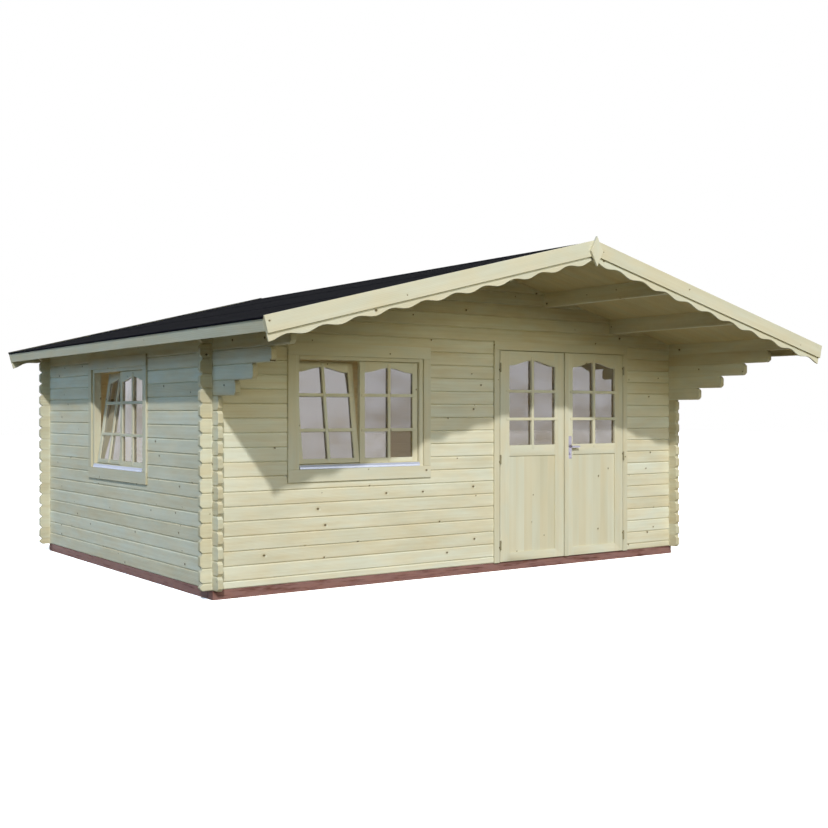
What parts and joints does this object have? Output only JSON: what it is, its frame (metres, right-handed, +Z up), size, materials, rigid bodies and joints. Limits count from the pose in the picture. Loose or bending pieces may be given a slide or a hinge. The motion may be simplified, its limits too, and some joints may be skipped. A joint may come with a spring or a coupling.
{
  "type": "log cabin",
  "caption": "Log cabin with interlocking corners, a low gable roof, a deep front canopy on stepped corbel logs, a glazed double door and tilting windows.",
  "frame": {"origin": "on the ground, at the middle of the roof's outline in plan", "axes": "+X along the front wall to the right as seen from the front, +Y from the front to the back, +Z up"},
  "size_m": [5.818, 5.635, 2.8095],
  "materials": {
    "spruce": "planed, untreated",
    "floor_timber": "planed",
    "treated_timber": "pressure treated",
    "roof_felt": "mineral felt",
    "glass": "clear",
    "drip_strip": "satin",
    "steel": "satin"
  },
  "bodies": {
    "cabin": {"back_apex_diamond": "spruce", "back_barge_board_left": "spruce", "back_barge_board_right": "spruce", "back_gable_logs": "spruce", "back_scalloped_board_left": "spruce", "back_scalloped_board_right": "spruce", "back_wall_logs": "spruce", "door_frame": "spruce", "door_stops": "spruce", "door_threshold": "spruce", "door_trim": "spruce", "doorway_hinges": "steel", "eave_boards": "spruce", "floor": "floor_timber", "floor_joists": "floor_timber", "foundation_beams": "treated_timber", "front_apex_diamond": "spruce", "front_barge_board_left": "spruce", "front_barge_board_right": "spruce", "front_gable_logs": "spruce", "front_scalloped_board_left": "spruce", "front_scalloped_board_right": "spruce", "front_wall_logs_left": "spruce", "front_wall_logs_right": "spruce", "front_window_drip_strip": "drip_strip", "front_window_frame": "spruce", "front_window_glass": "glass", "front_window_sashes": "spruce", "front_window_trim": "spruce", "left_wall_logs": "spruce", "left_window_drip_strip": "drip_strip", "left_window_frame": "spruce", "left_window_glass": "glass", "left_window_sashes": "spruce", "left_window_trim": "spruce", "ridge_purlin": "spruce", "right_wall_logs": "spruce", "roof_boards_left": "spruce", "roof_boards_right": "spruce", "roof_felt_left": "roof_felt", "roof_felt_right": "roof_felt", "side_purlins": "spruce"},
    "left_door": {"left_door_frame": "spruce", "left_door_glass": "glass", "left_door_hinges": "steel", "left_door_panel": "spruce"},
    "right_door": {"right_door_frame": "spruce", "right_door_glass": "glass", "right_door_hinges": "steel", "right_door_panel": "spruce", "door_cover_strip": "spruce", "handle_plates": "steel"},
    "lever": {"door_lever": "steel"}
  },
  "joints": [
    {"name": "left_door_hinge", "type": "hinge", "parent": "cabin", "child": "left_door", "pos_m": [0.27, -1.3135, 0], "axis": [0, 0, -1], "range_deg": [0, 120]},
    {"name": "right_door_hinge", "type": "hinge", "parent": "cabin", "child": "right_door", "pos_m": [1.83, -1.3135, 0], "axis": [0, 0, 1], "range_deg": [0, 120]},
    {"name": "lever_turn", "type": "hinge", "parent": "right_door", "child": "lever", "pos_m": [1.122, -1.2865, 1.109], "axis": [0, 1, 0], "range_deg": [0, 40], "stiffness_Nm_per_rad": 1.2, "springref_deg": -34.38}
  ]
}
